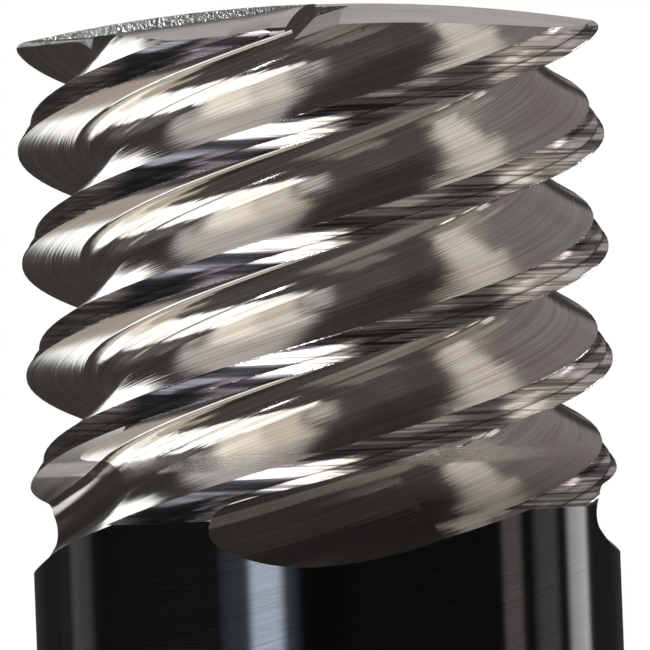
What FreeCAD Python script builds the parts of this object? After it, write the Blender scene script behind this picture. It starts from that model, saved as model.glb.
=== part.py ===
import FreeCAD, Part
import math
import os
import Sketcher

# Four-flute end mill, ground from one bar: a plain cylindrical shank below, a cutter of the
# same diameter above. Millimetres, +Z up, the origin in the middle of the shank's flat end.
# Seen from above the cutter turns counterclockwise. Its flutes climb to the right.

NODE = "endmill"

SIZES = {
    # shank
    "shank_diameter": 20,
    "shank_length": 51.1,
    "shank_chamfer": 0.8,
    # cutter blank: a crowned end with a rounded corner, a plain collar below the flutes
    "cutter_diameter": 20,
    "cutter_length": 17.4,
    "collar_length": 2.2,
    "crown_radius": 52,
    "corner_radius": 0.4,
    # flutes, their heights and depths measured in a plane through the axis
    "flute_count": 4,
    "flute_lead": 15.3,
    "flute_depth": 2.8,
    "rake_angle": 3,
    "gullet_radius": 0.8,
    "back_radius": 7,
    # land behind each cutting edge: margin, primary relief, secondary relief
    "margin_width": 0.06,
    "primary_width": 0.37,
    "primary_drop": 0.2,
    "land_width": 0.98,
    "heel_drop": 0.47,
    # place where the grinding wheel leaves the bar
    "runout_rise": 1.87,
    "runout_angle": 16,
    "wheel_radius": 40,
    "runout_dip": 0.03,
    # end teeth, their cutting edges a little ahead of the middle
    "end_advance": 3,
    "end_ahead": 0.35,
    "end_land_width": 0.5,
    "end_land_angle": 6,
    "end_relief_width": 2.0,
    "end_relief_angle": 9,
    "end_back_angle": 5.5,
    "web_width": 0.8,
    "gash_depth": 0.45,
    "gash_fall": 7,
    "gash_slope": 16,
}

# sizes that follow from the ones above
DERIVED = {
    "shank_radius": "=shank_diameter / 2",
    "cutter_radius": "=cutter_diameter / 2",
    "overall_length": "=shank_length + cutter_length",
    "collar_foot": "=shank_length - collar_length",
    "pitch": "=flute_lead / flute_count",
    "edge_height": "=shank_length + runout_rise",
    "lead_angle": "=atan(flute_lead / (pi * cutter_diameter)) / 1 deg",
    "crown_centre": "=overall_length - crown_radius",
    "corner_across": "=cutter_radius - corner_radius",
    "corner_height": "=crown_centre + sqrt((crown_radius - corner_radius) ^ 2 - corner_across ^ 2)",
    "land_angle": "=runout_angle - 360 * runout_rise / flute_lead",
    "end_angle": "=runout_angle + 360 * (corner_height - edge_height) / flute_lead + end_advance",
    # how far the cuts are drawn past the metal
    "clearance": "=cutter_radius / 10",
    "land_clearance": "=1.5 * clearance",
    "gash_reach": "=1.5 * cutter_radius",
}

# the same for the lines of the land's outline, as shares of their own lengths
MARGIN_OVERRUN = 1.6
HEEL_OVERRUN = 1.4
OUTER_OVERRUN = 1.3

# a distance that counts as none
SAME_PLACE = 1e-9


def make_sheet(doc):
    """Writes every size into the sheet, one row each."""
    sheet = doc.addObject("Spreadsheet::Sheet", "Sizes")
    rows = list(SIZES.items()) + list(DERIVED.items())
    for row, (name, content) in enumerate(rows, start=1):
        sheet.set(f"A{row}", name)
        sheet.set(f"B{row}", str(content))
        sheet.setAlias(f"B{row}", name)
        doc.recompute()
    return sheet


def number(owner, expression):
    """Works out an expression on the sheet."""
    answer = owner.evalExpression(expression)
    return float(getattr(answer, "Value", answer))


def new_sketch(body, name, role, offset=None):
    """Attaches an empty sketch to one of the body's origin planes."""
    plane = next(item for item in body.Origin.OriginFeatures if item.Role == role)
    sketch = body.newObject("Sketcher::SketchObject", name)
    sketch.AttachmentSupport = [(plane, "")]
    sketch.MapMode = "FlatFace"
    if offset:
        sketch.setExpression("AttachmentOffset", offset)
    body.Document.recompute()
    return sketch


def set_size(sketch, kind, places, expression):
    """Adds a dimension that follows an expression on the sheet."""
    value = number(sketch, expression)
    index = sketch.addConstraint(Sketcher.Constraint(kind, *places, value))
    sketch.setExpression(f"Constraints[{index}]", expression)


def pin(sketch, place, across, along):
    """Ties a point to the sketch's origin by its two coordinates."""
    for kind, expression in (("DistanceX", across), ("DistanceY", along)):
        value = number(sketch, expression)
        if abs(value) < SAME_PLACE:
            turned = "Vertical" if kind == "DistanceX" else "Horizontal"
            sketch.addConstraint(Sketcher.Constraint(turned, -1, 1, *place))
        elif value > 0:
            set_size(sketch, kind, (-1, 1, *place), expression)
        else:
            set_size(sketch, kind, (*place, -1, 1), f"-({expression})")


def draw_lines(sketch, points, closed=True):
    """Draws pinned straight lines through points given as pairs of expressions."""
    places = [FreeCAD.Vector(number(sketch, x), number(sketch, y), 0) for x, y in points]
    count = len(places) if closed else len(places) - 1
    first = sketch.GeometryCount
    for index in range(count):
        end = places[(index + 1) % len(places)]
        sketch.addGeometry(Part.LineSegment(places[index], end), False)
    for index in range(count - 1):
        sketch.addConstraint(Sketcher.Constraint("Coincident", first + index, 2, first + index + 1, 1))
    if closed:
        sketch.addConstraint(Sketcher.Constraint("Coincident", first + count - 1, 2, first, 1))
    for index, (across, along) in enumerate(points):
        place = (first + index, 1) if index < count else (first + count - 1, 2)
        pin(sketch, place, across, along)
    return first


def draw_axis(sketch, start, end):
    """Draws the construction line that a feature turns about."""
    line = draw_lines(sketch, [start, end], closed=False)
    sketch.setConstruction(line, True)


def arc_between(centre, radius, start, end):
    """Gives a counterclockwise arc from the start point to the end point."""
    circle = Part.Circle(centre, FreeCAD.Vector(0, 0, 1), radius)
    angles = [math.atan2(point.y - centre.y, point.x - centre.x) for point in (start, end)]
    if angles[1] < angles[0]:
        angles[1] += 2 * math.pi
    return Part.ArcOfCircle(circle, *angles)


def turn_about_axis(body, kind, name, sketch, axis="V_Axis"):
    """Adds a feature that turns a sketch about one of its own axes."""
    feature = body.newObject(kind, name)
    feature.Profile = sketch
    feature.ReferenceAxis = (sketch, [axis])
    feature.Angle = 360
    body.Document.recompute()
    return feature


def repeat_round(body, feature, name):
    """Repeats a cut once for each flute."""
    z_axis = next(item for item in body.Origin.OriginFeatures if item.Role == "Z_Axis")
    pattern = body.newObject("PartDesign::PolarPattern", name)
    pattern.Originals = [feature]
    pattern.Axis = (z_axis, [""])
    pattern.Angle = 360
    pattern.setExpression("Occurrences", "Sizes.flute_count")
    body.Tip = pattern
    body.Document.recompute()
    return pattern


def sweep_helix(body, name, sketch, height, axis="V_Axis"):
    """Cuts a sketch up along the flutes' right-hand helix."""
    helix = body.newObject("PartDesign::SubtractiveHelix", name)
    helix.Profile = sketch
    helix.ReferenceAxis = (sketch, [axis])
    helix.Mode = "pitch-height-angle"
    helix.LeftHanded = False
    helix.Reversed = False
    helix.setExpression("Pitch", "Sizes.flute_lead")
    helix.setExpression("Height", height)
    body.Document.recompute()
    return helix


def add_cutter_blank(body):
    """Turns the cutter's blank: collar, wall, rounded corner, crowned end."""
    sketch = new_sketch(body, "blank_profile", "XZ_Plane")
    radius = number(sketch, "Sizes.cutter_radius")
    across = number(sketch, "Sizes.corner_across")
    corner = FreeCAD.Vector(across, number(sketch, "Sizes.corner_height"), 0)
    crown = FreeCAD.Vector(0, number(sketch, "Sizes.crown_centre"), 0)
    top = FreeCAD.Vector(0, number(sketch, "Sizes.overall_length"), 0)
    meeting = crown + (corner - crown).normalize() * number(sketch, "Sizes.crown_radius")
    wall_top = FreeCAD.Vector(radius, corner.y, 0)
    seat = FreeCAD.Vector(0, number(sketch, "Sizes.collar_foot"), 0)
    seat_rim = FreeCAD.Vector(radius, seat.y, 0)

    sketch.addGeometry(Part.LineSegment(top, seat), False)
    sketch.addGeometry(Part.LineSegment(seat, seat_rim), False)
    sketch.addGeometry(Part.LineSegment(seat_rim, wall_top), False)
    sketch.addGeometry(arc_between(corner, (wall_top - corner).Length, wall_top, meeting), False)
    sketch.addGeometry(arc_between(crown, (top - crown).Length, meeting, top), False)
    for one, other in ((0, 1), (1, 2), (4, 0)):
        sketch.addConstraint(Sketcher.Constraint("Coincident", one, 2, other, 1))
    sketch.addConstraint(Sketcher.Constraint("Tangent", 2, 2, 3, 1))
    sketch.addConstraint(Sketcher.Constraint("Tangent", 3, 2, 4, 1))
    pin(sketch, (0, 2), "0", "Sizes.collar_foot")
    pin(sketch, (1, 2), "Sizes.cutter_radius", "Sizes.collar_foot")
    pin(sketch, (0, 1), "0", "Sizes.overall_length")
    sketch.addConstraint(Sketcher.Constraint("Vertical", 2))
    pin(sketch, (4, 3), "0", "Sizes.crown_centre")
    set_size(sketch, "Radius", (3,), "Sizes.corner_radius")
    return turn_about_axis(body, "PartDesign::Revolution", "cutter_blank", sketch)


def add_lands(body):
    """Grinds the primary and secondary relief behind each cutting edge, level at the foot."""
    offset = "placement(vector(0; 0; Sizes.shank_length); rotation(vector(0; 0; 1); Sizes.land_angle))"
    sketch = new_sketch(body, "land_profile", "XY_Plane", offset)

    def behind(radius, width):
        """Gives the point that lies this far behind the cutting edge, measured up the helix."""
        turn = f"({width} * 360 / Sizes.flute_lead)"
        return f"({radius} * cos({turn}))", f"(-{radius} * sin({turn}))"

    def past(start, end, share):
        """Gives the point on the line through both points, this share of their distance along."""
        return tuple(f"({near} + ({far} - {near}) * {share})" for near, far in zip(start, end))

    outside = "(Sizes.cutter_radius + Sizes.land_clearance)"
    margin = behind("Sizes.cutter_radius", "Sizes.margin_width")
    primary = behind("(Sizes.cutter_radius - Sizes.primary_drop)", "Sizes.primary_width")
    heel = behind("(Sizes.cutter_radius - Sizes.heel_drop)", "Sizes.land_width")
    draw_lines(sketch, [
        past(primary, margin, MARGIN_OVERRUN),
        primary,
        past(primary, heel, HEEL_OVERRUN),
        behind(outside, f"{OUTER_OVERRUN} * Sizes.land_width"),
        behind(outside, "0"),
    ])
    helix = sweep_helix(body, "land", sketch, "Sizes.cutter_length + Sizes.pitch", "N_Axis")
    return repeat_round(body, helix, "lands")


def add_shank(body):
    """Turns the shank, with its chamfered end."""
    sketch = new_sketch(body, "shank_profile", "XZ_Plane")
    draw_lines(sketch, [
        ("0", "0"),
        ("Sizes.shank_radius - Sizes.shank_chamfer", "0"),
        ("Sizes.shank_radius", "Sizes.shank_chamfer"),
        ("Sizes.shank_radius", "Sizes.collar_foot"),
        ("0", "Sizes.collar_foot"),
    ])
    return turn_about_axis(body, "PartDesign::Revolution", "shank", sketch)


def draw_flute(sketch, squeeze="1", dip="0"):
    """Draws the flute's outline below a cutting edge that lies at height zero.

    The outline runs in along the rake face, round the gullet and out along the concave back
    to the heel. Heights are multiplied by the squeeze. The dip makes the outline larger: deeper,
    and taller at both sides.
    """
    rake = "tan(Sizes.rake_angle)"
    outside = "(Sizes.cutter_radius + Sizes.clearance)"
    gullet_across = f"(Sizes.cutter_radius - Sizes.flute_depth + Sizes.gullet_radius - {dip})"
    rake_across = f"({gullet_across} + Sizes.gullet_radius * sin(Sizes.rake_angle))"
    rake_along = f"((Sizes.cutter_radius - {rake_across}) * {rake} + {dip})"
    gullet_along = f"({rake_along} - Sizes.gullet_radius * cos(Sizes.rake_angle))"
    heel_across = "(Sizes.cutter_radius - Sizes.heel_drop)"
    heel_along = f"(Sizes.land_width - Sizes.pitch - {dip})"
    mouth_along = f"({dip} - Sizes.clearance * {rake})"

    def place(across, along):
        return FreeCAD.Vector(number(sketch, across), number(sketch, f"({along}) * {squeeze}"), 0)

    mouth = place(outside, mouth_along)
    rake_end = place(rake_across, rake_along)
    gullet = place(gullet_across, gullet_along)
    heel = place(heel_across, heel_along)
    gullet_radius = (rake_end - gullet).Length
    back_radius = number(sketch, "Sizes.back_radius")

    # centre of the back: a circle through the heel that the gullet's circle touches from inside
    gap = heel - gullet
    from_gullet = back_radius - gullet_radius
    along_gap = (gap.Length ** 2 + from_gullet ** 2 - back_radius ** 2) / (2 * gap.Length)
    aside = math.sqrt(from_gullet ** 2 - along_gap ** 2)
    ahead = FreeCAD.Vector(gap).normalize()
    back = gullet + ahead * along_gap + FreeCAD.Vector(-ahead.y, ahead.x, 0) * aside
    meeting = gullet + (gullet - back).normalize() * gullet_radius
    rim = FreeCAD.Vector(mouth.x, back.y - math.sqrt(back_radius ** 2 - (back.x - mouth.x) ** 2), 0)

    sketch.addGeometry(Part.LineSegment(mouth, rake_end), False)
    sketch.addGeometry(arc_between(gullet, gullet_radius, rake_end, meeting), False)
    sketch.addGeometry(arc_between(back, back_radius, meeting, rim), False)
    sketch.addGeometry(Part.LineSegment(rim, mouth), False)
    sketch.addGeometry(Part.Point(heel), True)
    sketch.addConstraint(Sketcher.Constraint("Coincident", 0, 2, 1, 1))
    sketch.addConstraint(Sketcher.Constraint("Tangent", 1, 2, 2, 1))
    sketch.addConstraint(Sketcher.Constraint("Coincident", 2, 2, 3, 1))
    sketch.addConstraint(Sketcher.Constraint("Coincident", 3, 2, 0, 1))
    sketch.addConstraint(Sketcher.Constraint("PointOnObject", 4, 1, 2))
    pin(sketch, (0, 1), outside, f"{mouth_along} * {squeeze}")
    pin(sketch, (0, 2), rake_across, f"{rake_along} * {squeeze}")
    pin(sketch, (1, 3), gullet_across, f"{gullet_along} * {squeeze}")
    pin(sketch, (4, 1), heel_across, f"{heel_along} * {squeeze}")
    set_size(sketch, "Radius", (2,), "Sizes.back_radius")
    sketch.addConstraint(Sketcher.Constraint("Vertical", 3))


def add_flutes(body):
    """Cuts the helical flutes, from the place where the wheel leaves up past the end."""
    offset = "placement(vector(0; Sizes.edge_height; 0); rotation(vector(0; 1; 0); Sizes.runout_angle))"
    sketch = new_sketch(body, "flute_profile", "XZ_Plane", offset)
    draw_flute(sketch)
    helix = sweep_helix(body, "flute", sketch, "Sizes.overall_length - Sizes.edge_height + Sizes.pitch")
    return repeat_round(body, helix, "flutes")


def add_runouts(body):
    """Cuts the curved end of each flute: the grinding wheel's own rim, leaning with the helix."""
    offset = "placement(vector(0; Sizes.edge_height; 0); " \
             "rotation(vector(0; 1; 0); Sizes.runout_angle) * rotation(vector(1; 0; 0); Sizes.lead_angle))"
    sketch = new_sketch(body, "wheel_profile", "XZ_Plane", offset)
    draw_flute(sketch, "cos(Sizes.lead_angle)", "Sizes.runout_dip")
    axle = "Sizes.cutter_radius - Sizes.flute_depth + Sizes.wheel_radius"
    draw_axis(sketch, (axle, "0"), (axle, "Sizes.pitch"))
    groove = turn_about_axis(body, "PartDesign::Groove", "runout", sketch, "Axis0")
    return repeat_round(body, groove, "runouts")


def add_end_relief(body):
    """Grinds the end teeth's tops, which fall away behind each end cutting edge."""
    offset = "placement(vector(0; Sizes.overall_length; 0); " \
             "rotation(vector(0; 1; 0); Sizes.end_angle - 90)) * " \
             "placement(vector(-Sizes.end_ahead; 0; -Sizes.end_ahead); rotation(vector(0; 1; 0); 0))"
    sketch = new_sketch(body, "end_relief_profile", "XZ_Plane", offset)
    land, relief = "Sizes.end_land_width", "Sizes.end_relief_width"
    past = "(Sizes.cutter_radius + Sizes.clearance)"
    land_fall = f"{land} * tan(Sizes.end_land_angle)"
    relief_fall = f"({land_fall} + ({relief} - {land}) * tan(Sizes.end_relief_angle))"
    draw_lines(sketch, [
        (f"-{land}", f"{land_fall}"),
        ("0", "0"),
        (land, f"-{land_fall}"),
        (relief, f"-{relief_fall}"),
        (past, f"-({relief_fall} + ({past} - {relief}) * tan(Sizes.end_back_angle))"),
        (past, "Sizes.clearance"),
        (f"-{land}", "Sizes.clearance"),
    ])
    draw_axis(sketch, ("0", "-Sizes.crown_radius"), (past, "-Sizes.crown_radius"))
    groove = body.newObject("PartDesign::Groove", "end_relief")
    groove.Profile = sketch
    groove.ReferenceAxis = (sketch, ["Axis0"])
    groove.setExpression("Angle", f"asin({past} / Sizes.crown_radius)")
    groove.Reversed = True
    body.Document.recompute()
    return repeat_round(body, groove, "end_reliefs")


def add_gashes(body):
    """Cuts the notch in front of each end tooth, from the web out, deeper towards the rim."""
    offset = "placement(vector(0; Sizes.overall_length - Sizes.gash_depth; 0); " \
             "rotation(vector(0; 1; 0); Sizes.end_angle)) * " \
             "placement(vector(Sizes.end_ahead; 0; Sizes.web_width / 2); " \
             "rotation(vector(1; 0; 0); Sizes.gash_fall))"
    sketch = new_sketch(body, "gash_profile", "YZ_Plane", offset)
    wide, high = "Sizes.cutter_radius", "Sizes.cutter_radius / 2"
    draw_lines(sketch, [
        ("0", "0"),
        (wide, f"{wide} * tan(Sizes.gash_slope)"),
        (wide, high),
        ("0", high),
    ])
    pocket = body.newObject("PartDesign::Pocket", "gash")
    pocket.Profile = sketch
    pocket.Type = "Length"
    pocket.setExpression("Length", "Sizes.gash_reach")
    pocket.Reversed = True
    body.Document.recompute()
    return repeat_round(body, pocket, "gashes")


def report(step, feature, before):
    """Prints what a step did to the volume."""
    volume = feature.Shape.Volume
    print(f"{step}: {volume:.1f} cubic mm, change {volume - before:+.2f}, valid {feature.Shape.isValid()}")
    return volume


def main():
    """Builds the end mill and writes its solid."""
    doc = FreeCAD.newDocument(NODE)
    make_sheet(doc)
    body = doc.addObject("PartDesign::Body", NODE)
    body.Label = NODE
    doc.recompute()
    volume = 0.0
    turned = (add_cutter_blank, add_shank)
    ground = (add_flutes, add_lands, add_runouts, add_end_relief, add_gashes)
    for step in turned + ground:
        volume = report(step.__name__, step(body), volume)

    failed = [item.Name for item in doc.Objects if "Invalid" in item.State or "Error" in item.State]
    if failed:
        raise RuntimeError(f"these objects failed: {failed}")
    if body.Shape.isNull() or not body.Shape.isValid() or len(body.Shape.Solids) != 1:
        raise RuntimeError("the end mill is not one valid solid")
    os.makedirs("parts", exist_ok=True)
    body.Shape.exportStep(f"parts/{NODE}.step")
    print("box", body.Shape.BoundBox)


main()
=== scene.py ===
import logging
import math
from dataclasses import dataclass, field
from enum import Enum
from typing import Any

import bpy
from mathutils import Euler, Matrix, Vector

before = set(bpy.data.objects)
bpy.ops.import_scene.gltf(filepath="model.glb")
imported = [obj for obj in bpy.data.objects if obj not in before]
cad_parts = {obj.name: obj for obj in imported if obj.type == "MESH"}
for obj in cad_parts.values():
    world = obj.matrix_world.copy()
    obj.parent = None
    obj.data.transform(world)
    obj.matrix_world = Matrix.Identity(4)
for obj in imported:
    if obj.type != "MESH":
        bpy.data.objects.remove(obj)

# Dresses a four-flute end mill, ground from one bar, and stands it in a plain pale studio. Lengths
# are in metres, +Z is up and is the tool's axis, and the shank's flat end is at zero. Angles about
# the axis are counted from +X towards +Y.

logging.basicConfig(level=logging.INFO, format="%(name)s: %(message)s")
log = logging.getLogger("endmill")

MM = 0.001
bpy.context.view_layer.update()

Colour = tuple[float, float, float]
Span = tuple[float, float]
Run = tuple[float, float, float, float]


@dataclass(frozen=True)
class ToolSizes:
    """Sizes of the cutter that its finish follows, in metres and degrees."""

    radius: float = 10.0 * MM
    length: float = 68.5 * MM
    shank_length: float = 51.1 * MM
    flutes: int = 4
    lead: float = 15.3 * MM
    edge_height: float = 52.97 * MM
    edge_angle: float = 16.0
    land_width: float = 0.98 * MM
    primary_width: float = 0.37 * MM
    end_angle: float = -6.6

    @property
    def pitch(self) -> float:
        """Gives the height from one cutting edge to the next."""
        return self.lead / self.flutes

    @property
    def step(self) -> float:
        """Gives the angle from one cutting edge to the next, in radians."""
        return math.radians(360 / self.flutes)

    @property
    def land_share(self) -> float:
        """Gives the lands' share of the pitch."""
        return self.land_width / self.pitch

    @property
    def primary_share(self) -> float:
        """Gives the primary reliefs' share of the pitch."""
        return self.primary_width / self.pitch


class Term:
    """A shader value that can be written in an expression.

    Args:
        bench: the bench that adds nodes.
        socket: the output socket that holds the value.
    """

    def __init__(self, bench: "Bench", socket: bpy.types.NodeSocket) -> None:
        """Keeps the bench and the socket."""
        self.bench = bench
        self.socket = socket

    def __add__(self, other: Any) -> "Term":
        """Adds a value."""
        return self.bench.maths("ADD", self, other)

    def __radd__(self, other: Any) -> "Term":
        """Adds this to a number."""
        return self.bench.maths("ADD", other, self)

    def __sub__(self, other: Any) -> "Term":
        """Takes a value away."""
        return self.bench.maths("SUBTRACT", self, other)

    def __rsub__(self, other: Any) -> "Term":
        """Takes this away from a number."""
        return self.bench.maths("SUBTRACT", other, self)

    def __mul__(self, other: Any) -> "Term":
        """Multiplies by a value."""
        return self.bench.maths("MULTIPLY", self, other)

    def __rmul__(self, other: Any) -> "Term":
        """Multiplies a number by this."""
        return self.bench.maths("MULTIPLY", other, self)

    def __truediv__(self, other: Any) -> "Term":
        """Divides by a value."""
        return self.bench.maths("DIVIDE", self, other)

    def __rtruediv__(self, other: Any) -> "Term":
        """Divides a number by this."""
        return self.bench.maths("DIVIDE", other, self)

    def __gt__(self, other: Any) -> "Term":
        """Gives 1 where this is larger, else 0."""
        return self.bench.maths("GREATER_THAN", self, other)

    def __lt__(self, other: Any) -> "Term":
        """Gives 1 where this is smaller, else 0."""
        return self.bench.maths("LESS_THAN", self, other)

    def fraction(self) -> "Term":
        """Gives the part after the decimal point."""
        return self.bench.maths("FRACT", self)

    def magnitude(self) -> "Term":
        """Gives the value without its sign."""
        return self.bench.maths("ABSOLUTE", self)

    def fade(self, low: Any, high: Any) -> "Term":
        """Rises smoothly from 0 at low to 1 at high.

        Args:
            low: value at which the result is 0.
            high: value at which the result is 1. It may be below low.

        Returns:
            The smooth step.
        """
        return self.bench.node(
            "ShaderNodeMapRange",
            {"interpolation_type": "SMOOTHSTEP"},
            {"Value": self, "From Min": low, "From Max": high},
            "Result",
        )


# sockets of the Mix node when it mixes colours, whose names are there more than once
MIX_FACTOR, MIX_LOW, MIX_HIGH, MIX_RESULT = 0, 6, 7, 2


class Bench:
    """Adds nodes to one node tree.

    Args:
        tree: the node tree of a material or a world.
    """

    def __init__(self, tree: bpy.types.NodeTree) -> None:
        """Keeps the tree."""
        self.tree = tree

    def node(
        self, kind: str, settings: dict[str, Any], inputs: dict[int | str, Any], output: int | str = 0
    ) -> Term:
        """Adds one node.

        Args:
            kind: the node's type.
            settings: properties of the node.
            inputs: values or terms by socket name or number.
            output: the output socket's name or number.

        Returns:
            The output as a term.
        """
        made = self.tree.nodes.new(kind)
        for name, value in settings.items():
            setattr(made, name, value)
        for name, value in inputs.items():
            if isinstance(value, Term):
                self.tree.links.new(value.socket, made.inputs[name])
            else:
                made.inputs[name].default_value = value
        return Term(self, made.outputs[output])

    def maths(self, operation: str, *values: Any) -> Term:
        """Adds a Math node."""
        return self.node("ShaderNodeMath", {"operation": operation}, dict(enumerate(values)))

    def blend(self, factor: Any, low: Any, high: Any, mode: str = "MIX") -> Term:
        """Mixes two colours.

        Args:
            factor: 0 for the first colour, 1 for the second.
            low: first colour or term.
            high: second colour or term.
            mode: the blend type.

        Returns:
            The mixed colour.
        """
        low, high = (value if isinstance(value, Term) else (*value, 1.0) for value in (low, high))
        return self.node(
            "ShaderNodeMix",
            {"data_type": "RGBA", "blend_type": mode, "clamp_result": False},
            {MIX_FACTOR: factor, MIX_LOW: low, MIX_HIGH: high},
            MIX_RESULT,
        )

    def point(self, x: Any, y: Any, z: Any) -> Term:
        """Joins three values into a vector."""
        return self.node("ShaderNodeCombineXYZ", {}, {0: x, 1: y, 2: z})

    def parts(self, vector: Term) -> tuple[Term, Term, Term]:
        """Splits a vector into its three values."""
        split = self.node("ShaderNodeSeparateXYZ", {}, {0: vector}).socket.node
        return tuple(Term(self, output) for output in split.outputs)

    def vectors(self, operation: str, *values: Any) -> Term:
        """Adds a Vector Math node."""
        return self.node("ShaderNodeVectorMath", {"operation": operation}, dict(enumerate(values)))

    def scaled(self, vector: Any, factor: Any) -> Term:
        """Multiplies a vector by a number."""
        inputs = {"Vector": vector, "Scale": factor}
        return self.node("ShaderNodeVectorMath", {"operation": "SCALE"}, inputs)

    def noise(self, vector: Term, scale: float = 1.0, detail: float = 2.0, roughness: float = 0.6) -> Term:
        """Adds a noise texture.

        Args:
            vector: where the noise is read.
            scale: how fine it is.
            detail: number of finer layers.
            roughness: how strong the finer layers are.

        Returns:
            A value of about 0.5.
        """
        return self.node(
            "ShaderNodeTexNoise",
            {"noise_dimensions": "3D"},
            {"Vector": vector, "Scale": scale, "Detail": detail, "Roughness": roughness},
        )


@dataclass(frozen=True)
class Shade:
    """One finish of ground carbide."""

    colour: Colour
    roughness: float


@dataclass(frozen=True)
class Spot:
    """Where a point of the tool lies and which way it faces, as shader values.

    The phase runs from 0 at one cutting edge to 1 at the next. The side is the angle about the axis
    in degrees, 0 in front and growing to the right.
    """

    across: Term
    depth: Term
    height: Term
    angle: Term
    radius: Term
    side: Term
    phase: Term
    outward: Term
    upward: Term


@dataclass(frozen=True)
class Zones:
    """Masks of the surfaces that are ground in ways of their own."""

    shank: Term
    land: Term
    primary: Term
    end: Term
    rake: Term


@dataclass(frozen=True)
class Marks:
    """Noises that the grinding lines and clouds are drawn with, each of about 0.5."""

    fine: Term
    band: Term
    level: Term
    cloud: Term
    cup: Term


@dataclass(frozen=True)
class Limits:
    """Where the surfaces part.

    The outs are shares of the tool's radius, outward and upward are parts of the normal, the rake
    span is counted in phase from the middle of a flute, and the rest are lengths. The full and
    run-out spans are heights above the shank.
    """

    shank_out: float = 0.985
    shank_seam: float = 0.02 * MM
    shank_upward: float = 0.02
    land_out: float = 0.945
    land_outward: float = 0.7
    end_upward: float = 0.85
    end_depth: float = 1.6 * MM
    rake_span: Span = (0.44, 0.46)
    full_span: Span = (1.6 * MM, 2.2 * MM)
    runout_span: Span = (2.2 * MM, 0.2 * MM)


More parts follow.
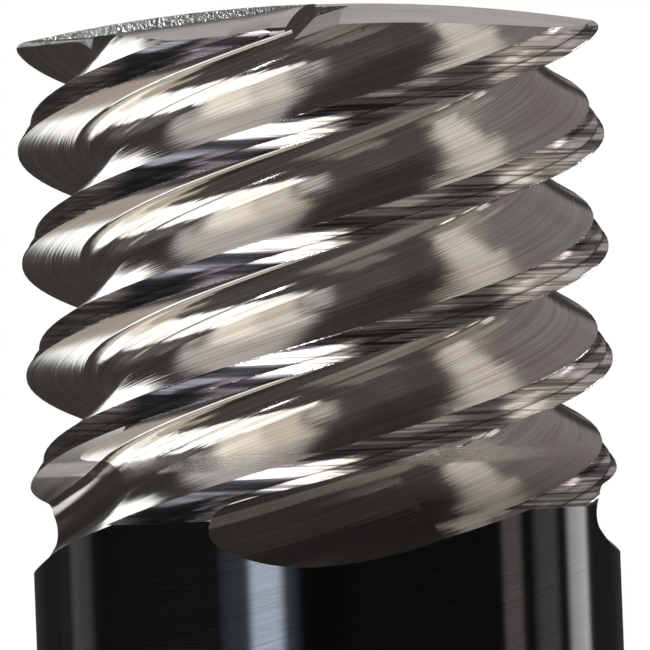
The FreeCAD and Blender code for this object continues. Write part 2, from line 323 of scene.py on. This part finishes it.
@dataclass(frozen=True)
class GroundCarbide:
    """The finish of the whole tool: polished shank, ground flutes, lands and end teeth.

    Widths and depths are in metres, and shifts, tilts and runs in degrees. A loss, a gain or a share
    is a part of the brightness. A span holds the values at which a change starts and is complete.
    """

    sizes: ToolSizes
    limits: Limits = Limits()

    # painted shade: the shank is coloured far darker than the same carbide of the flutes, for the dark
    # studio that its polish mirrors
    shank: Shade = Shade((0.05, 0.052, 0.06), 0.1)
    flute: Shade = Shade((0.52, 0.51, 0.49), 0.1)
    land: Shade = Shade((0.5, 0.47, 0.465), 0.14)
    end: Shade = Shade((0.45, 0.43, 0.415), 0.14)
    brown: Colour = (0.46, 0.43, 0.395)
    brown_span: Span = (0.85, 1.2)
    # painted shade: the lands' left-front side is coloured dark and bluish, standing in for the dark
    # studio it mirrors
    painted_dark_side: Colour = (0.07, 0.066, 0.08)
    painted_dark_front: Span = (8.0, 2.0)
    painted_dark_back: Span = (-48.0, -38.0)
    painted_dark_waver: float = 6.0
    painted_dark_calm: float = 0.6
    rough_spread: float = 0.1

    run: float = 5.0 * MM
    line_width: float = 0.09 * MM
    band_width: float = 0.45 * MM
    band_detail: float = 3.0
    level_width: float = 0.11 * MM
    level_span: Span = (0.36, 0.64)
    cloud_scale: float = 1.4
    cloud_roughness: float = 0.5
    cloud_span: Span = (0.35, 0.65)
    cloud_share: float = 0.5
    cup_width: float = 0.2 * MM
    cup_scale: float = 0.7
    cup_ahead: float = 0.6
    cup_aside: float = 1.8
    cup_base: float = 0.3
    cup_share: float = 0.4

    primary_shift: float = 9.0
    # painted highlights and painted shade on stretches of the lands, in degrees along one spacing
    painted_highlight_runs: tuple[Run, ...] = ((73, 75, 84, 86), (3, 5, 16, 18))
    # the first two are one stretch, which goes on from the end of one spacing into the next
    painted_shade_runs: tuple[Run, ...] = ((85, 87, 91, 92), (-2, -1, 2, 4), (17, 19, 27, 30))
    painted_highlight_gain: float = 0.9
    painted_shade_loss: float = 0.6
    # share of painted shade on the flutes' run-outs by the shank
    runout_shade_loss: float = 0.58
    parting_loss: float = 0.6
    parting_span: Span = (0.045 * MM, 0.015 * MM)

    land_tilt: float = -10.0
    flute_grain: float = 0.7
    rake_calm: float = 0.5
    land_grain: float = 0.6
    shank_grain: float = 0.12
    bump_strength: float = 0.7
    bump_depth: float = 0.012 * MM

    def material(self) -> bpy.types.Material:
        """Builds the material.

        Returns:
            The material for the tool's node.
        """
        made = bpy.data.materials.new("ground_carbide")
        made.use_nodes = True
        bench = Bench(made.node_tree)
        surface = made.node_tree.nodes["Principled BSDF"]
        surface.inputs["Metallic"].default_value = 1.0
        spot = self.spot(bench)
        zones = self.zones(spot)
        marks = self.marks(bench, spot)
        fed = {
            "Base Color": self.colour(bench, spot, zones, marks),
            "Roughness": self.roughness(zones, marks),
            "Normal": self.normal(bench, zones, marks),
        }
        for name, value in fed.items():
            made.node_tree.links.new(value.socket, surface.inputs[name])
        return made

    def spot(self, bench: Bench) -> Spot:
        """Works out where a point lies and which way it faces.

        Args:
            bench: the material's bench.

        Returns:
            The point's place and facing.
        """
        place = bench.node("ShaderNodeTexCoord", {}, {}, "Object")
        facing = bench.node("ShaderNodeNewGeometry", {}, {}, "True Normal")
        across, depth, height = bench.parts(place)
        aside, back, upward = bench.parts(facing)
        angle = bench.maths("ARCTAN2", depth, across)
        radius = bench.maths("SQRT", across * across + depth * depth)
        start = math.radians(self.sizes.edge_angle)
        turn = (height - self.sizes.edge_height) / self.sizes.pitch - (angle - start) / self.sizes.step
        return Spot(
            across=across,
            depth=depth,
            height=height,
            angle=angle,
            radius=radius,
            side=bench.maths("ARCTAN2", across, 0 - depth) * math.degrees(1),
            phase=turn.fraction(),
            outward=(across * aside + depth * back) / radius,
            upward=upward,
        )

    def zones(self, spot: Spot) -> Zones:
        """Tells the surfaces apart.

        Args:
            spot: the point's place and facing.

        Returns:
            A mask for each kind of surface.
        """
        out = spot.radius / self.sizes.radius
        upright = spot.upward.magnitude() < self.limits.shank_upward
        below = spot.height < self.sizes.shank_length + self.limits.shank_seam
        land = (spot.phase < self.sizes.land_share) * (out > self.limits.land_out)
        land = land * (spot.height > self.sizes.shank_length) * (spot.outward > self.limits.land_outward)
        near_end = spot.height > self.sizes.length - self.limits.end_depth
        return Zones(
            shank=below * upright * (out > self.limits.shank_out),
            land=land,
            primary=spot.phase < self.sizes.primary_share,
            end=(spot.upward > self.limits.end_upward) * near_end,
            rake=(spot.phase - 0.5).magnitude().fade(*self.limits.rake_span) * (1 - land),
        )

    def above_shank(self, span: Span) -> Span:
        """Gives the heights that a span above the shank stands for."""
        return self.sizes.shank_length + span[0], self.sizes.shank_length + span[1]

    def marks(self, bench: Bench, spot: Spot) -> Marks:
        """Adds the noises of the grinding marks.

        Args:
            bench: the material's bench.
            spot: the point's place and facing.

        Returns:
            The noises.
        """
        rise = spot.phase * self.sizes.pitch
        slow = spot.height / self.run
        # on the run-outs the lines follow the helix alone
        inward = spot.radius * spot.height.fade(*self.above_shank(self.limits.full_span))
        fine = bench.point(rise / self.line_width, inward / self.line_width, slow)
        band = bench.point(rise / self.band_width, inward / self.band_width, slow)
        level = bench.point(spot.across / self.run, spot.depth / self.run, spot.height / self.level_width)
        cloud = bench.point(spot.across / self.run, spot.depth / self.run, slow)
        return Marks(
            fine=bench.noise(fine),
            band=bench.noise(band, detail=self.band_detail),
            level=bench.noise(level),
            cloud=bench.noise(cloud, self.cloud_scale, roughness=self.cloud_roughness),
            cup=self.cup_marks(bench, spot),
        )

    def cup_marks(self, bench: Bench, spot: Spot) -> Term:
        """Draws the curved lines that a cup wheel leaves on the end teeth.

        Args:
            bench: the material's bench.
            spot: the point's place and facing.

        Returns:
            A value of about 0.5 that varies across the lines.
        """
        turned = (spot.angle - math.radians(self.sizes.end_angle)) / self.sizes.step
        folded = turned.fraction() * self.sizes.step
        ahead = spot.radius * bench.maths("COSINE", folded) + self.cup_ahead * self.sizes.radius
        aside = spot.radius * bench.maths("SINE", folded) - self.cup_aside * self.sizes.radius
        reach = bench.maths("SQRT", ahead * ahead + aside * aside)
        return bench.noise(bench.point(reach / self.cup_width, 0.0, 0.0), self.cup_scale)

    def colour(self, bench: Bench, spot: Spot, zones: Zones, marks: Marks) -> Term:
        """Colours the surfaces.

        Args:
            bench: the material's bench.
            spot: the point's place and facing.
            zones: the masks of the surfaces.
            marks: the noises of the grinding marks.

        Returns:
            The base colour.
        """
        turn = math.degrees(self.sizes.step)
        # the side at which the level line through a point meets the cutting edge
        slid = spot.side + spot.phase * turn + zones.primary * self.primary_shift
        # painted shade: a dark bluish colour on the lands' left-front side, for the dark studio they
        # mirror there
        wavering = slid + (marks.level - 0.5) * self.painted_dark_waver
        painted_dark_side = wavering.fade(*self.painted_dark_front) * spot.side.fade(*self.painted_dark_back)
        brown = (marks.band + marks.cloud).fade(*self.brown_span)
        flute = bench.blend(brown, self.flute.colour, self.brown)
        land = bench.blend(painted_dark_side, self.land.colour, self.painted_dark_side)
        colour = bench.blend(zones.land, flute, land)
        colour = bench.blend(zones.end, colour, self.end.colour)
        colour = bench.blend(zones.shank, colour, self.shank.colour)
        # painted highlights and painted shade on the lands
        shade = self.shade(spot, zones, marks, painted_dark_side) * (1 + zones.land * self.painted_land_patches(slid / turn))
        return bench.blend(1.0, colour, bench.point(shade, shade, shade), "MULTIPLY")

    def shade(self, spot: Spot, zones: Zones, marks: Marks, painted_dark_side: Term) -> Term:
        """Works out how the lines, the clouds and the painted shade on the run-outs change the brightness.

        Args:
            spot: the point's place and facing.
            zones: the masks of the surfaces.
            marks: the noises of the grinding marks.
            painted_dark_side: mask of the lands' left-front side, which is painted dark and bluish as
                painted shade.

        Returns:
            A factor of about 1.
        """
        lines = marks.fine * (1 - zones.land) + marks.level * zones.land
        lines = lines * (1 - zones.end) + (self.cup_base + marks.cup * self.cup_share) * zones.end
        stripes = marks.level.fade(*self.level_span) - 0.5
        clouds = marks.cloud.fade(*self.cloud_span) - 0.5
        shade = 0.5 + lines + zones.land * stripes * (1 - self.painted_dark_calm * painted_dark_side)
        shade = shade + zones.end * clouds * self.cloud_share
        # painted shade: the flutes' run-outs by the shank are darkened
        runout_shade = spot.height.fade(*self.above_shank(self.limits.runout_span))
        # fine dark line between the two reliefs of a land
        gap = (spot.phase - self.sizes.primary_share).magnitude() * self.sizes.pitch
        parting = zones.land * gap.fade(*self.parting_span)
        return shade * (1 - self.runout_shade_loss * runout_shade) * (1 - self.parting_loss * parting)

    def painted_land_patches(self, turned: Term) -> Term:
        """Paints highlights and shade on level stretches of the lands.

        Args:
            turned: place along a land, brought along level lines, in flute spacings.

        Returns:
            The share of brightness to add, below 0 where some is taken away.
        """
        place = turned.fraction() * math.degrees(self.sizes.step)
        painted_bright = sum(self.stretch(place, run) for run in self.painted_highlight_runs)
        painted_dim = sum(self.stretch(place, run) for run in self.painted_shade_runs)
        return self.painted_highlight_gain * painted_bright - self.painted_shade_loss * painted_dim

    @staticmethod
    def stretch(place: Term, run: Run) -> Term:
        """Marks a stretch with soft ends.

        Args:
            place: the place in degrees.
            run: where the stretch starts, is complete, starts to end and has ended.

        Returns:
            The mask.
        """
        start, complete, ending, end = run
        return place.fade(start, complete) * place.fade(end, ending)

    def roughness(self, zones: Zones, marks: Marks) -> Term:
        """Works out how dull the surfaces are.

        Args:
            zones: the masks of the surfaces.
            marks: the noises of the grinding marks.

        Returns:
            The roughness.
        """
        rough = self.flute.roughness + (marks.band - 0.5) * self.rough_spread
        for zone, shade in ((zones.land, self.land), (zones.end, self.end), (zones.shank, self.shank)):
            rough = rough * (1 - zone) + shade.roughness * zone
        return rough

    def normal(self, bench: Bench, zones: Zones, marks: Marks) -> Term:
        """Raises the grinding lines and turns the lands.

        Args:
            bench: the material's bench.
            zones: the masks of the surfaces.
            marks: the noises of the grinding marks.

        Returns:
            The normal.
        """
        flat = zones.land + zones.end + zones.shank
        # the rake faces are smoother than the flutes' floors
        ground = self.flute_grain - self.rake_calm * zones.rake
        grain = (marks.fine + marks.band) * (1 - flat) * ground
        grain = grain + marks.level * (zones.land * self.land_grain + zones.shank * self.shank_grain)
        facing = bench.node("ShaderNodeNewGeometry", {}, {}, "Normal")
        tilt = zones.land * math.radians(self.land_tilt)
        # turned about the tool's axis, the lands mirror light from further to the left
        leaning = bench.node(
            "ShaderNodeVectorRotate", {"rotation_type": "Z_AXIS"}, {"Vector": facing, "Angle": tilt}
        )
        inputs = {
            "Strength": self.bump_strength,
            "Distance": self.bump_depth,
            "Height": grain,
            "Normal": leaning,
        }
        return bench.node("ShaderNodeBump", {}, inputs, "Normal")


@dataclass
class EndMill:
    """The tool itself, one ground piece."""

    node: str = "endmill"
    sizes: ToolSizes = field(default_factory=ToolSizes)

    def dress(self) -> None:
        """Gives the node its finish."""
        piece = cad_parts[self.node]
        # its teeth mirror the studio and not each other
        piece.visible_glossy = False
        material = GroundCarbide(self.sizes).material()
        for slot in piece.material_slots:
            slot.material = material
        log.info("%s dressed with %s", self.node, material.name)


class Tone(Enum):
    """Colours of the studio's light."""

    SILVER = (1.0, 1.0, 0.985)
    CREAM = (1.0, 0.93, 0.83)
    TAN = (1.0, 0.86, 0.72)
    KHAKI = (1.0, 0.93, 0.84)
    MAUVE = (1.0, 0.9, 0.9)
    GREY = (1.0, 0.95, 0.92)
    BLUE = (0.88, 0.95, 1.0)


@dataclass(frozen=True)
class Panel:
    """One soft panel of light in the studio, as the tool sees it from its place.

    Azimuths are in degrees, 0 towards the camera's side and growing to the right. Heights are
    degrees above the horizon. The sides are given at the low edge, and the leans say by how much
    they have moved at the high edge.
    """

    left: float
    right: float
    low: float
    high: float
    strength: float
    tone: Tone
    side_edge: float = 5.0
    level_edge: float = 5.0
    left_lean: float = 0.0
    right_lean: float = 0.0

    def glow(self, bench: Bench, azimuth: Term, height: Term) -> Term:
        """Gives the panel's light in one direction.

        Args:
            bench: the world's bench.
            azimuth: the direction's azimuth.
            height: the direction's height.

        Returns:
            The light as a vector of red, green and blue.
        """
        side, level = self.side_edge / 2, self.level_edge / 2
        left = self.leaned(height, self.left, self.left_lean)
        right = self.leaned(height, self.right, self.right_lean)
        mask = azimuth.fade(left - side, left + side) * azimuth.fade(right + side, right - side)
        mask = mask * height.fade(self.low - level, self.low + level)
        mask = mask * height.fade(self.high + level, self.high - level)
        light = tuple(part * self.strength for part in self.tone.value)
        return bench.scaled(light, mask)

    def leaned(self, height: Term, side: float, lean: float) -> Any:
        """Gives the azimuth of a side at a height.

        Args:
            height: the height.
            side: the side's azimuth at the low edge.
            lean: how far it has moved at the high edge.

        Returns:
            The azimuth, a plain number where the side doesn't lean.
        """
        if not lean:
            return side
        climb = (height - self.low) * (1 / (self.high - self.low))
        return side + climb * lean


# heights of the bright slots that the polished shank shows
SLOT_LOW, SLOT_HIGH, SLOT_EDGE = -2.2, 0.8, 1.0
SLOTS = tuple(
    Panel(left, right, SLOT_LOW, SLOT_HIGH, strength, tone, edge, SLOT_EDGE)
    for left, right, strength, tone, edge in (
        (-42, -12, 1.6, Tone.BLUE, 6),
        (-31, -18, 22.0, Tone.BLUE, 5),
        (-121, -105, 1.2, Tone.MAUVE, 6),
        (74, 83, 3.2, Tone.TAN, 4),
        (90, 103, 1.8, Tone.KHAKI, 6),
        (110, 124, 7.0, Tone.GREY, 5),
    )
)

PANELS = (
    # left, right, low, high, strength, tone, side edge, level edge, left lean, right lean
    # large panel on the left, its lower end bent round on the floor
    Panel(-97, -42, 3, 40, 2.4, Tone.SILVER, 4, 3, 0, 5),
    Panel(-102, -46, -12, -3, 2.4, Tone.SILVER, 4, 3, 5, 4),
    Panel(-125, -62, -35, -12, 2.3, Tone.SILVER, 6, 4, 23, 16),
    Panel(-168, -84, -54, -36, 2.3, Tone.SILVER, 10, 5, 8, 24),
    Panel(-176, -88, -62, -52, 1.7, Tone.CREAM, 14, 5),
    Panel(150, 190, -62, -50, 0.9, Tone.CREAM, 14, 5),
    Panel(-190, -60, -73, -60, 0.85, Tone.TAN, 12, 6),
    # its upper end, which leans over the tool
    Panel(-98, -38, 40, 60, 2.2, Tone.SILVER, 12, 4, 8, 3),
    Panel(-140, -94, 43, 58, 1.5, Tone.CREAM, 8, 6, 0, 4),
    Panel(-140, -90, 57, 67, 1.1, Tone.CREAM, 10, 3),
    Panel(-96, -46, 58, 69, 1.3, Tone.CREAM, 10, 4),
    Panel(-170, -138, 34, 61, 0.75, Tone.GREY, 6, 6, 22, 4),
    Panel(-116, -84, 68, 76, 0.8, Tone.GREY, 8, 4),
    # dim light at the tool's left, and the sliver by the lands
    Panel(-132, -96, -22, 36, 0.2, Tone.GREY, 14, 10),
    Panel(-175.8, -169.9, 9, 24, 2.4, Tone.SILVER, 1.5, 2, 4.8, 8.9),
    Panel(-190, -176.5, 8, 24, 0.5, Tone.GREY, 3, 6),
    Panel(173, 190, 8, 24, 0.5, Tone.GREY, 3, 6),
    # light behind, low, that the rake faces show at the left
    Panel(140, 177.6, -36, -24.5, 1.7, Tone.SILVER, 1.0, 1.5),
    Panel(140, 177.6, -24.5, -13, 0.5, Tone.TAN, 1.0, 2),
    Panel(160, 190, -50, -40, 0.8, Tone.CREAM, 6, 6),
    Panel(-190, -160, -52, -40, 0.9, Tone.CREAM, 6, 6),
    # dim reflectors on the right
    Panel(0, 34, 6, 50, 0.3, Tone.KHAKI, 16, 10),
    Panel(56, 98, 6, 44, 0.45, Tone.KHAKI, 18, 8),
    Panel(60, 86, 38, 64, 0.95, Tone.KHAKI, 14, 10, 4, 4),
    Panel(76, 122, 34, 64, 0.45, Tone.KHAKI, 16, 8),
    Panel(84, 144, 62, 74, 1.0, Tone.KHAKI, 14, 6),
    Panel(138, 164, 58, 71, 0.95, Tone.KHAKI, 10, 5),
    Panel(158, 186, 55, 64, 0.9, Tone.KHAKI, 10, 4),
    Panel(4, 102, -46, -1, 0.33, Tone.KHAKI, 24, 6),
    Panel(96, 190, 18, 63, 0.29, Tone.MAUVE, 8, 6),
    Panel(96, 106, 6, 24, 1.2, Tone.MAUVE, 4, 5),
    # light that only the far side shows, and a dim ceiling
    Panel(106, 156, -38, -10, 2.0, Tone.SILVER, 8, 6),
    Panel(-360, 360, 84, 100, 0.13, Tone.GREY, 4, 4),
) + SLOTS


@dataclass
class Studio:
    """A pale floor, soft light and the camera."""

    floor_size: float = 4.0
    floor_gap: float = 0.01 * MM
    floor_colour: Colour = (0.9, 0.9, 0.9)
    floor_roughness: float = 0.9
    speck_scale: float = 900.0
    speck_shade: float = 0.98
    speck_roughness: float = 0.5
    gloom: Colour = (0.115, 0.104, 0.098)
    dusk: float = 0.5
    dusk_span: Span = (125.0, 150.0)
    focal_length: float = 1000.0
    sensor: float = 36.0
    clip_near: float = 0.1
    clip_far: float = 10.0
    view_width: float = 22.15 * MM
    view_height: float = 57.56 * MM
    view_aside: float = 0.24 * MM
    roll: float = 2.2

    def lay_floor(self) -> None:
        """Lays the floor just under the tool."""
        bpy.ops.mesh.primitive_plane_add(size=self.floor_size, location=(0, 0, -self.floor_gap))
        floor = bpy.context.object
        floor.name = "floor"
        # the metal mirrors the studio's own lower half, its panels and dark cards
        floor.visible_glossy = False
        made = bpy.data.materials.new("pale_floor")
        made.use_nodes = True
        bench = Bench(made.node_tree)
        surface = made.node_tree.nodes["Principled BSDF"]
        surface.inputs["Roughness"].default_value = self.floor_roughness
        place = bench.node("ShaderNodeTexCoord", {}, {}, "Object")
        speck = bench.noise(place, self.speck_scale, roughness=self.speck_roughness)
        darker = tuple(self.speck_shade * part for part in self.floor_colour)
        tone = bench.blend(speck, self.floor_colour, darker)
        made.node_tree.links.new(tone.socket, surface.inputs["Base Color"])
        floor.data.materials.append(made)
        log.info("floor laid")

    def light_world(self) -> None:
        """Sets the studio's light all round: white to the camera, panels and gaps to the metal."""
        world = bpy.data.worlds.new("studio")
        bpy.context.scene.world = world
        world.use_nodes = True
        # each ray that leaves the metal reads the light where it goes, with no map of it made before
        world.cycles.sampling_method = "NONE"
        tree = world.node_tree
        tree.nodes.clear()
        bench = Bench(tree)
        way = bench.node("ShaderNodeTexCoord", {}, {}, "Generated")
        x, y, z = bench.parts(way)
        azimuth = bench.maths("ARCTAN2", x, 0 - y) * math.degrees(1)
        height = bench.maths("ARCSINE", z) * math.degrees(1)
        # the dark part of the studio is darker still behind the tool
        behind = azimuth.magnitude().fade(*self.dusk_span)
        glow = bench.scaled(self.gloom, 1 - self.dusk * behind)
        for panel in PANELS:
            glow = bench.vectors("MAXIMUM", glow, panel.glow(bench, azimuth, height))
        light = bench.node("ShaderNodeBackground", {}, {"Color": glow, "Strength": 1.0}, 0)
        white = bench.node("ShaderNodeBackground", {}, {"Color": (1, 1, 1, 1), "Strength": 1.0}, 0)
        mirrored = bench.node("ShaderNodeLightPath", {}, {}, "Is Glossy Ray")
        mixed = bench.node("ShaderNodeMixShader", {}, {0: mirrored, 1: white, 2: light})
        output = tree.nodes.new("ShaderNodeOutputWorld")
        tree.links.new(mixed.socket, output.inputs["Surface"])
        log.info("world lit with %d panels", len(PANELS))

    def place_camera(self) -> None:
        """Puts the camera level in front of the cutter, far off with a long lens."""
        data = bpy.data.cameras.new("camera")
        data.lens = self.focal_length
        data.sensor_width = self.sensor
        camera = bpy.data.objects.new("camera", data)
        bpy.context.scene.collection.objects.link(camera)
        distance = self.view_width * self.focal_length / self.sensor
        data.clip_start = distance * self.clip_near
        data.clip_end = distance * self.clip_far
        camera.rotation_euler = Euler((math.radians(90), math.radians(self.roll), 0), "XYZ")
        camera.location = Vector((self.view_aside, -distance, self.view_height))
        bpy.context.scene.camera = camera
        log.info("camera placed %.0f mm away", distance / MM)


def settings() -> None:
    """Sets the plain view transform."""
    bpy.context.scene.view_settings.view_transform = "Standard"


def main() -> None:
    """Builds the tool's finish and the studio."""
    settings()
    EndMill().dress()
    studio = Studio()
    studio.lay_floor()
    studio.light_world()
    studio.place_camera()


if __name__ == "__main__":
    main()
